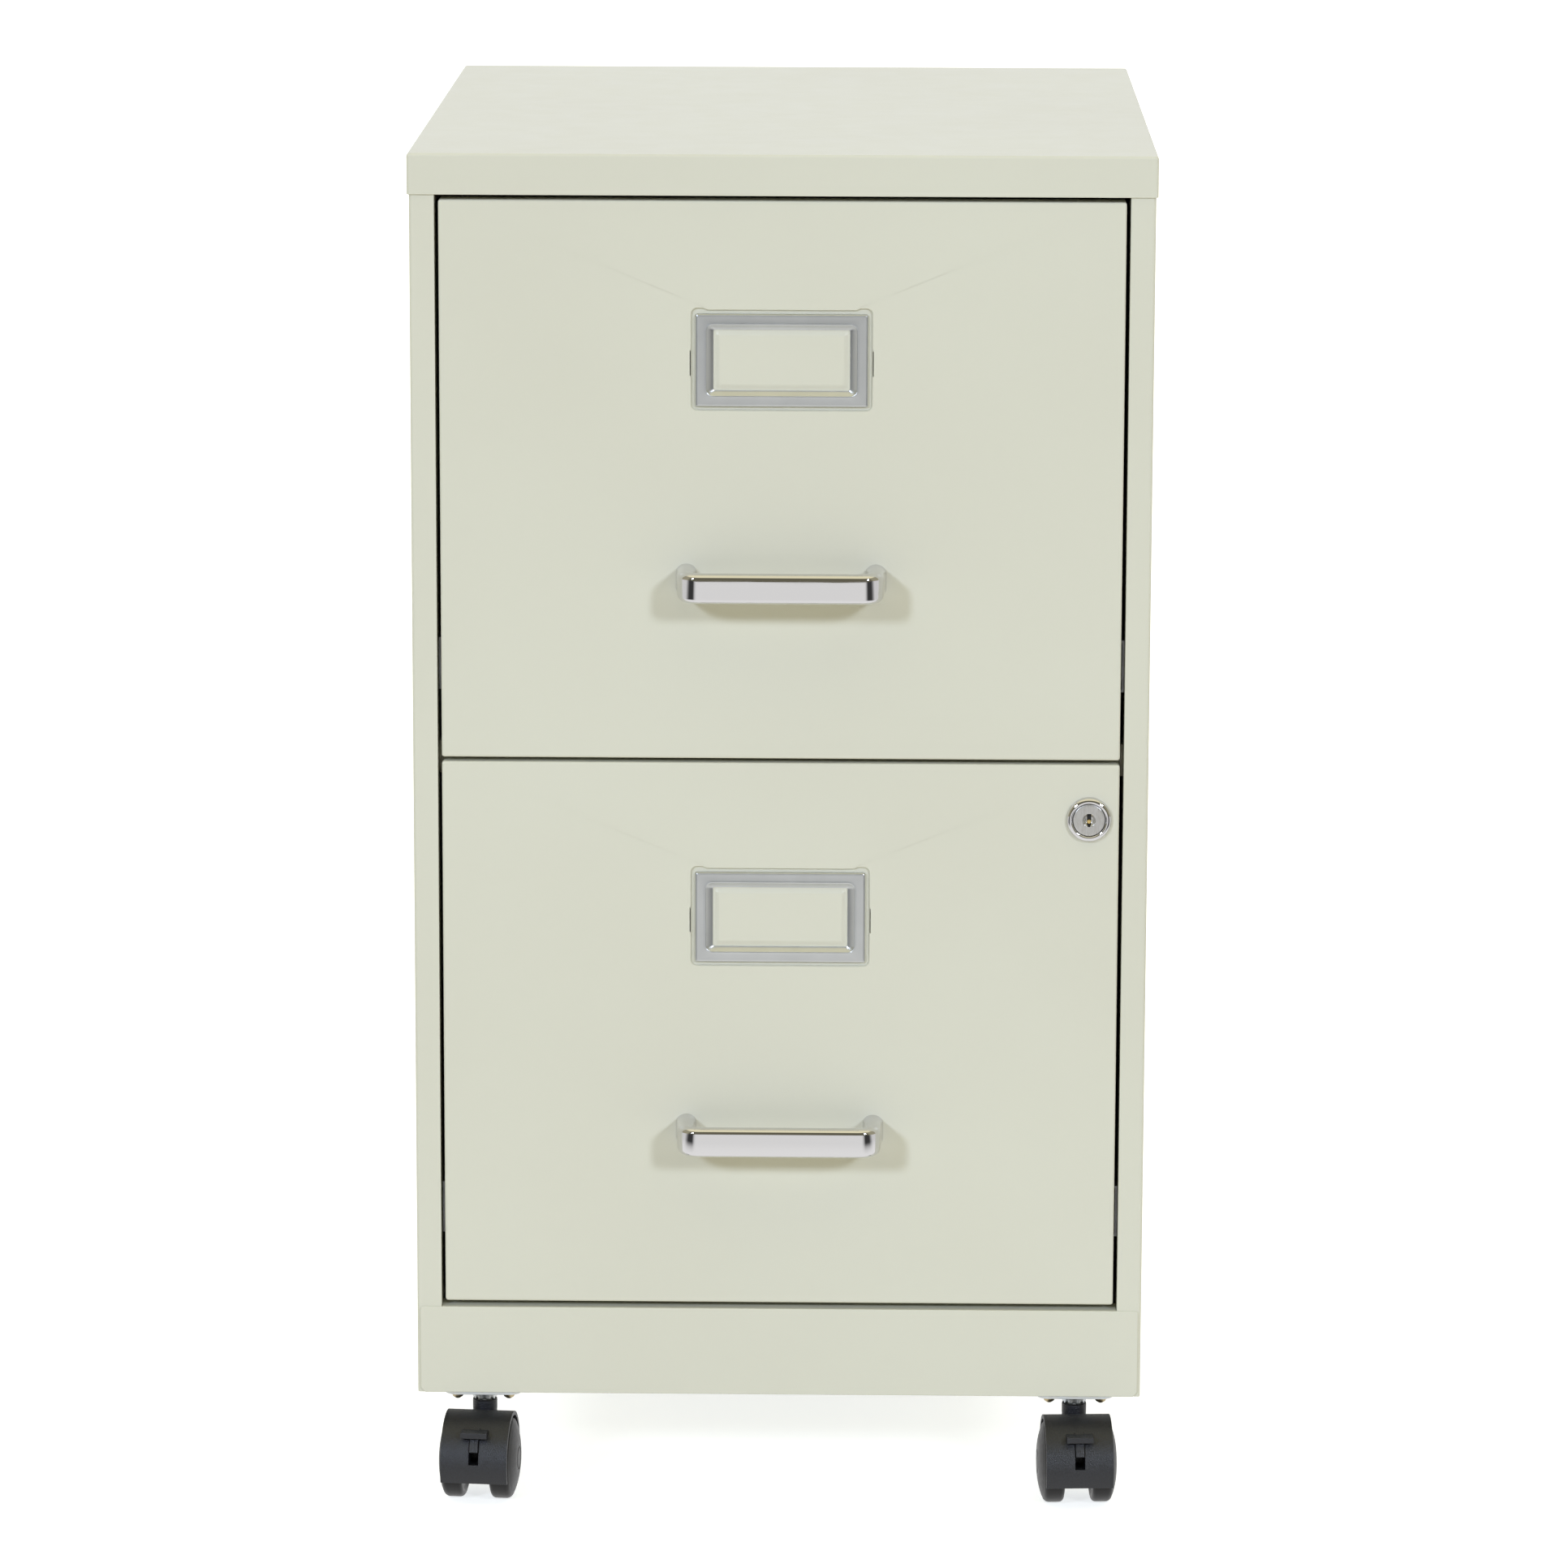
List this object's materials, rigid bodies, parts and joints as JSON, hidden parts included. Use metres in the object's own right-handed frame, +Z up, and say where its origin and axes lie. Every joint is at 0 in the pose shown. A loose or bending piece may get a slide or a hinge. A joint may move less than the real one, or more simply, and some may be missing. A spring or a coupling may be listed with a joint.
{
  "type": "filing cabinet",
  "caption": "Mobile steel filing cabinet with stacked pull-out file drawers, chrome arch handles, label holders, a cam lock and swivelling hooded twin-wheel casters.",
  "frame": {"origin": "on the floor, under the middle of the overall box", "axes": "+X to the right seen from the front, +Y to the back, +Z up"},
  "size_m": [0.364, 0.4846, 0.678],
  "materials": {
    "cream_paint": "fine satin powder coat",
    "galvanised_steel": "dull galvanised sheet",
    "zinc_plate": "bright zinc plating",
    "yellow_zinc": "yellow passivated zinc",
    "chrome": "polished chrome plating",
    "satin_silver": "satin silver",
    "black_nylon": "fine grained black nylon",
    "wheel_black": "smooth black nylon",
    "roller_nylon": "natural white nylon"
  },
  "bodies": {
    "cabinet": {"top_cap": "cream_paint", "left_side_panel": "cream_paint", "right_side_panel": "cream_paint", "back_panel": "cream_paint", "bottom_pan": "cream_paint", "base_front_panel": "cream_paint", "top_front_rail": "cream_paint", "mid_cross_rail": "cream_paint", "rear_runner_posts": "galvanised_steel", "caster_channels": "galvanised_steel", "cabinet_runners": "galvanised_steel", "caster_plates": "zinc_plate", "caster_bearings": "zinc_plate", "caster_plate_screws": "yellow_zinc"},
    "lower_drawer": {"lower_drawer_front": "cream_paint", "lower_drawer_tray": "cream_paint", "lower_drawer_back": "cream_paint", "lower_drawer_runners": "galvanised_steel", "lower_handle": "chrome", "lower_handle_screws": "zinc_plate", "lower_label_frame": "satin_silver", "lock_barrel": "chrome", "lock_nut": "zinc_plate"},
    "lower_left_cabinet_roller": {"lower_left_cabinet_roller": "roller_nylon"},
    "lower_left_drawer_roller": {"lower_left_drawer_roller": "roller_nylon"},
    "lower_right_cabinet_roller": {"lower_right_cabinet_roller": "roller_nylon"},
    "lower_right_drawer_roller": {"lower_right_drawer_roller": "roller_nylon"},
    "upper_drawer": {"upper_drawer_front": "cream_paint", "upper_drawer_tray": "cream_paint", "upper_drawer_back": "cream_paint", "upper_drawer_runners": "galvanised_steel", "upper_handle": "chrome", "upper_handle_screws": "zinc_plate", "upper_label_frame": "satin_silver"},
    "upper_left_cabinet_roller": {"upper_left_cabinet_roller": "roller_nylon"},
    "upper_left_drawer_roller": {"upper_left_drawer_roller": "roller_nylon"},
    "upper_right_cabinet_roller": {"upper_right_cabinet_roller": "roller_nylon"},
    "upper_right_drawer_roller": {"upper_right_drawer_roller": "roller_nylon"},
    "lock_plug_and_cam": {"lock_plug": "chrome", "lock_cam": "zinc_plate", "lock_cam_screw": "zinc_plate"},
    "front_left_caster": {"front_left_caster_hood": "black_nylon", "front_left_caster_pins": "zinc_plate"},
    "front_left_caster_left_wheel": {"front_left_caster_left_wheel": "wheel_black"},
    "front_left_caster_right_wheel": {"front_left_caster_right_wheel": "wheel_black"},
    "front_left_brake_lever": {"front_left_brake_lever": "black_nylon"},
    "front_right_caster": {"front_right_caster_hood": "black_nylon", "front_right_caster_pins": "zinc_plate"},
    "front_right_caster_left_wheel": {"front_right_caster_left_wheel": "wheel_black"},
    "front_right_caster_right_wheel": {"front_right_caster_right_wheel": "wheel_black"},
    "front_right_brake_lever": {"front_right_brake_lever": "black_nylon"},
    "rear_left_caster": {"rear_left_caster_hood": "black_nylon", "rear_left_caster_pins": "zinc_plate"},
    "rear_left_caster_left_wheel": {"rear_left_caster_left_wheel": "wheel_black"},
    "rear_left_caster_right_wheel": {"rear_left_caster_right_wheel": "wheel_black"},
    "rear_right_caster": {"rear_right_caster_hood": "black_nylon", "rear_right_caster_pins": "zinc_plate"},
    "rear_right_caster_left_wheel": {"rear_right_caster_left_wheel": "wheel_black"},
    "rear_right_caster_right_wheel": {"rear_right_caster_right_wheel": "wheel_black"}
  },
  "joints": [
    {"name": "lower_drawer_slide", "type": "slide", "parent": "cabinet", "child": "lower_drawer", "axis": [0, -1, 0], "range_m": [0, 0.37]},
    {"name": "lower_left_cabinet_roller_spin", "type": "hinge", "parent": "cabinet", "child": "lower_left_cabinet_roller", "pos_m": [-0.1634, -0.18285, 0.1459], "axis": [1, 0, 0], "continuous": true},
    {"name": "lower_left_drawer_roller_spin", "type": "hinge", "parent": "lower_drawer", "child": "lower_left_drawer_roller", "pos_m": [-0.1614, 0.21115, 0.1472], "axis": [1, 0, 0], "continuous": true},
    {"name": "lower_right_cabinet_roller_spin", "type": "hinge", "parent": "cabinet", "child": "lower_right_cabinet_roller", "pos_m": [0.1634, -0.18285, 0.1459], "axis": [1, 0, 0], "continuous": true},
    {"name": "lower_right_drawer_roller_spin", "type": "hinge", "parent": "lower_drawer", "child": "lower_right_drawer_roller", "pos_m": [0.1614, 0.21115, 0.1472], "axis": [1, 0, 0], "continuous": true},
    {"name": "upper_drawer_slide", "type": "slide", "parent": "cabinet", "child": "upper_drawer", "axis": [0, -1, 0], "range_m": [0, 0.37]},
    {"name": "upper_left_cabinet_roller_spin", "type": "hinge", "parent": "cabinet", "child": "upper_left_cabinet_roller", "pos_m": [-0.1634, -0.18285, 0.42315], "axis": [1, 0, 0], "continuous": true},
    {"name": "upper_left_drawer_roller_spin", "type": "hinge", "parent": "upper_drawer", "child": "upper_left_drawer_roller", "pos_m": [-0.1614, 0.21115, 0.42445], "axis": [1, 0, 0], "continuous": true},
    {"name": "upper_right_cabinet_roller_spin", "type": "hinge", "parent": "cabinet", "child": "upper_right_cabinet_roller", "pos_m": [0.1634, -0.18285, 0.42315], "axis": [1, 0, 0], "continuous": true},
    {"name": "upper_right_drawer_roller_spin", "type": "hinge", "parent": "upper_drawer", "child": "upper_right_drawer_roller", "pos_m": [0.1614, 0.21115, 0.42445], "axis": [1, 0, 0], "continuous": true},
    {"name": "lock_turn", "type": "hinge", "parent": "lower_drawer", "child": "lock_plug_and_cam", "pos_m": [0.152, -0.21385, 0.35095], "axis": [0, 1, 0], "range_deg": [0, 90]},
    {"name": "front_left_caster_swivel", "type": "hinge", "parent": "cabinet", "child": "front_left_caster", "pos_m": [-0.1487, -0.19155, 0.0557], "axis": [0, 0, 1], "continuous": true},
    {"name": "front_left_caster_left_wheel_spin", "type": "hinge", "parent": "front_left_caster", "child": "front_left_caster_left_wheel", "pos_m": [-0.1503, -0.20847, 0.0205], "axis": [0.9956, -0.0941, 0], "continuous": true},
    {"name": "front_left_caster_right_wheel_spin", "type": "hinge", "parent": "front_left_caster", "child": "front_left_caster_right_wheel", "pos_m": [-0.1503, -0.20847, 0.0205], "axis": [0.9956, -0.0941, 0], "continuous": true},
    {"name": "front_left_brake_press", "type": "hinge", "parent": "front_left_caster", "child": "front_left_brake_lever", "pos_m": [-0.1503, -0.20847, 0.0205], "axis": [0.9956, -0.0941, 0], "range_deg": [0, 14]},
    {"name": "front_right_caster_swivel", "type": "hinge", "parent": "cabinet", "child": "front_right_caster", "pos_m": [0.1487, -0.19155, 0.0557], "axis": [0, 0, 1], "continuous": true},
    {"name": "front_right_caster_left_wheel_spin", "type": "hinge", "parent": "front_right_caster", "child": "front_right_caster_left_wheel", "pos_m": [0.14971, -0.20852, 0.0205], "axis": [0.9982, 0.0593, 0], "continuous": true},
    {"name": "front_right_caster_right_wheel_spin", "type": "hinge", "parent": "front_right_caster", "child": "front_right_caster_right_wheel", "pos_m": [0.14971, -0.20852, 0.0205], "axis": [0.9982, 0.0593, 0], "continuous": true},
    {"name": "front_right_brake_press", "type": "hinge", "parent": "front_right_caster", "child": "front_right_brake_lever", "pos_m": [0.14971, -0.20852, 0.0205], "axis": [0.9982, 0.0593, 0], "range_deg": [0, 14]},
    {"name": "rear_left_caster_swivel", "type": "hinge", "parent": "cabinet", "child": "rear_left_caster", "pos_m": [-0.1487, 0.21035, 0.0557], "axis": [0, 0, 1], "continuous": true},
    {"name": "rear_left_caster_left_wheel_spin", "type": "hinge", "parent": "rear_left_caster", "child": "rear_left_caster_left_wheel", "pos_m": [-0.1487, 0.19335, 0.0205], "axis": [1, 0, 0], "continuous": true},
    {"name": "rear_left_caster_right_wheel_spin", "type": "hinge", "parent": "rear_left_caster", "child": "rear_left_caster_right_wheel", "pos_m": [-0.1487, 0.19335, 0.0205], "axis": [1, 0, 0], "continuous": true},
    {"name": "rear_right_caster_swivel", "type": "hinge", "parent": "cabinet", "child": "rear_right_caster", "pos_m": [0.1487, 0.21035, 0.0557], "axis": [0, 0, 1], "continuous": true},
    {"name": "rear_right_caster_left_wheel_spin", "type": "hinge", "parent": "rear_right_caster", "child": "rear_right_caster_left_wheel", "pos_m": [0.1487, 0.19335, 0.0205], "axis": [1, 0, 0], "continuous": true},
    {"name": "rear_right_caster_right_wheel_spin", "type": "hinge", "parent": "rear_right_caster", "child": "rear_right_caster_right_wheel", "pos_m": [0.1487, 0.19335, 0.0205], "axis": [1, 0, 0], "continuous": true}
  ],
  "couplings": [
    {"joint": "lower_left_cabinet_roller_spin", "follows": "lower_drawer_slide", "rad_per_m": 100},
    {"joint": "lower_left_drawer_roller_spin", "follows": "lower_drawer_slide", "rad_per_m": 85.47},
    {"joint": "lower_right_cabinet_roller_spin", "follows": "lower_drawer_slide", "rad_per_m": 100},
    {"joint": "lower_right_drawer_roller_spin", "follows": "lower_drawer_slide", "rad_per_m": 85.47},
    {"joint": "upper_left_cabinet_roller_spin", "follows": "upper_drawer_slide", "rad_per_m": 100},
    {"joint": "upper_left_drawer_roller_spin", "follows": "upper_drawer_slide", "rad_per_m": 85.47},
    {"joint": "upper_right_cabinet_roller_spin", "follows": "upper_drawer_slide", "rad_per_m": 100},
    {"joint": "upper_right_drawer_roller_spin", "follows": "upper_drawer_slide", "rad_per_m": 85.47}
  ]
}
